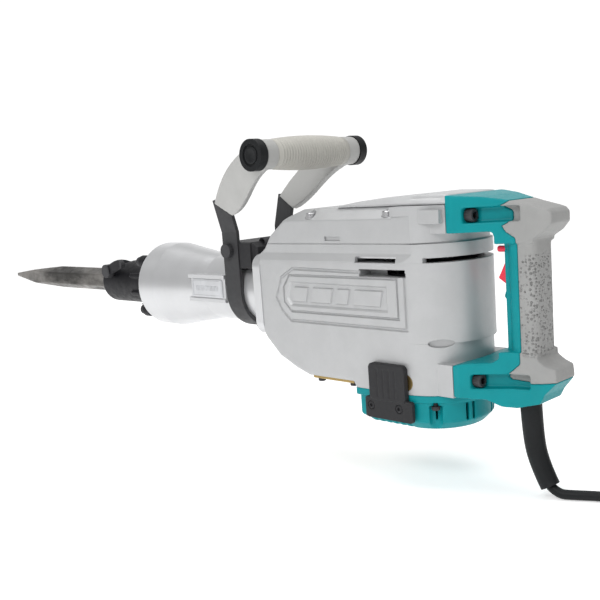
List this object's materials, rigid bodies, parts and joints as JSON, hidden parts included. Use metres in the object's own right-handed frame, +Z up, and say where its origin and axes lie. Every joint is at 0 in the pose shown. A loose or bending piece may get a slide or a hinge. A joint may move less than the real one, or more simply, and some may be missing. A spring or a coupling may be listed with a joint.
{
  "type": "electric jackhammer",
  "caption": "Electric demolition breaker with a hex-shank bull point, swinging side handle, D-shaped rear handle with trigger, hammer train inside and a coiled mains cord.",
  "frame": {"origin": "middle of the rear grip, on the tool axis", "axes": "-X along the chisel towards the work, +X to the rear, +Z up along the rear grip"},
  "size_m": [1.1973, 0.2957, 0.3665],
  "materials": {
    "cast_silver": "silver painted casting, fine grain",
    "fairing_grey": "silver grey moulded plastic, satin",
    "bare_aluminium": "machined aluminium",
    "barrel_aluminium": "satin cast aluminium",
    "label_metal": "embossed aluminium plate",
    "black_steel": "black oxide steel",
    "black_steel_band": "black painted steel strap",
    "black_cast": "black painted steel casting",
    "black_rubber": "black rubber",
    "steel": "ground steel",
    "core_steel": "laminated electrical steel",
    "chisel_steel": "forged tool steel",
    "copper": "enamelled copper",
    "brass": "brass",
    "carbon": "carbon",
    "teal_plastic": "teal glass-filled nylon, satin",
    "grip_grey": "grey moulded rubber with dimples",
    "dark_plastic": "dark grey moulded plastic",
    "red_plastic": "red moulded plastic",
    "light_plastic": "light grey moulded plastic",
    "light_rubber": "warm light grey ribbed rubber"
  },
  "bodies": {
    "housing": {"crankcase": "cast_silver", "gear_cover": "cast_silver", "top_fairing": "fairing_grey", "gear_plate": "bare_aluminium", "gear_cover_screws": "steel", "barrel": "barrel_aluminium", "flange_bolts": "black_steel", "label_plates": "label_metal", "front_cover": "black_cast", "front_seal": "black_rubber", "front_cover_bolts": "black_steel", "tool_sleeve": "steel", "cylinder_liner": "steel", "crank_bearings": "steel", "gear_bearings": "steel", "stator_core": "core_steel", "field_coils": "copper", "brush_holders": "brass", "carbon_brushes": "carbon", "oil_gasket": "brass", "oil_cover": "brass", "motor_end_cover": "teal_plastic", "bottom_screws": "black_steel", "brush_cover_left": "dark_plastic", "brush_cover_right": "dark_plastic", "brush_cover_screws": "black_steel", "handle_frame": "teal_plastic", "handle_cover": "grip_grey", "handle_bolts": "black_steel", "switch_body": "dark_plastic", "cord_guard": "black_rubber", "cord": "black_rubber", "cord_coil": "black_rubber", "cord_tail": "black_rubber", "plug": "black_rubber"},
    "chisel": {"chisel": "chisel_steel"},
    "retainer": {"retainer_lever": "black_steel"},
    "beat_piece": {"beat_piece": "steel"},
    "ram": {"ram": "steel", "ram_ring": "black_rubber"},
    "piston": {"piston": "bare_aluminium", "piston_ring": "black_rubber"},
    "rod": {"connecting_rod": "bare_aluminium", "wrist_pin": "steel"},
    "crank": {"crankshaft": "steel", "crank_gear": "steel"},
    "idler": {"idler_gear": "steel"},
    "armature": {"motor_shaft": "steel", "armature_core": "core_steel", "armature_windings": "copper", "commutator": "copper", "fan": "dark_plastic"},
    "trigger": {"trigger": "red_plastic"},
    "lock_button": {"lock_button": "red_plastic"},
    "side_handle": {"side_band": "black_steel_band", "clamp_block": "dark_plastic", "clamp_bolt": "black_steel", "handle_sleeves": "light_plastic", "side_grip": "light_rubber", "grip_caps": "black_rubber"}
  },
  "joints": [
    {"name": "chisel_slide", "type": "slide", "parent": "housing", "child": "chisel", "axis": [-1, 0, 0], "range_m": [0, 0.03]},
    {"name": "retainer_turn", "type": "hinge", "parent": "housing", "child": "retainer", "pos_m": [-0.661, 0, 0.018], "axis": [0, -1, 0], "range_deg": [0, 180]},
    {"name": "beat_slide", "type": "slide", "parent": "housing", "child": "beat_piece", "axis": [-1, 0, 0], "range_m": [0, 0.01]},
    {"name": "ram_slide", "type": "slide", "parent": "housing", "child": "ram", "axis": [-1, 0, 0], "range_m": [-0.02, 0.016]},
    {"name": "piston_slide", "type": "slide", "parent": "housing", "child": "piston", "axis": [-1, 0, 0], "range_m": [-0.015, 0.015]},
    {"name": "armature_spin", "type": "hinge", "parent": "housing", "child": "armature", "pos_m": [-0.11, 0, 0], "axis": [0, 0, 1], "continuous": true},
    {"name": "idler_spin", "type": "hinge", "parent": "housing", "child": "idler", "pos_m": [-0.152, 0, 0], "axis": [0, 0, 1], "continuous": true},
    {"name": "crank_spin", "type": "hinge", "parent": "housing", "child": "crank", "pos_m": [-0.21275, 0, 0], "axis": [0, 0, 1], "continuous": true},
    {"name": "rod_turn", "type": "hinge", "parent": "crank", "child": "rod", "pos_m": [-0.22775, 0, 0], "axis": [0, 0, 1], "continuous": true},
    {"name": "trigger_pull", "type": "hinge", "parent": "housing", "child": "trigger", "pos_m": [-0.0085, 0, 0.04], "axis": [0, -1, 0], "range_deg": [0, 9], "stiffness_Nm_per_rad": 0.3, "springref_deg": -5.73},
    {"name": "lock_press", "type": "slide", "parent": "housing", "child": "lock_button", "axis": [1, 0, 0], "range_m": [0, 0.003], "stiffness_N_per_m": 200, "springref_m": -0.002},
    {"name": "side_handle_swing", "type": "hinge", "parent": "housing", "child": "side_handle", "pos_m": [-0.375, 0, 0], "axis": [1, 0, 0], "range_deg": [-180, 180]}
  ],
  "couplings": [
    {"joint": "idler_spin", "follows": "armature_spin", "ratio": -0.21739},
    {"joint": "crank_spin", "follows": "armature_spin", "ratio": 0.062112},
    {"joint": "rod_turn", "follows": "armature_spin", "ratio": -0.062112}
  ]
}
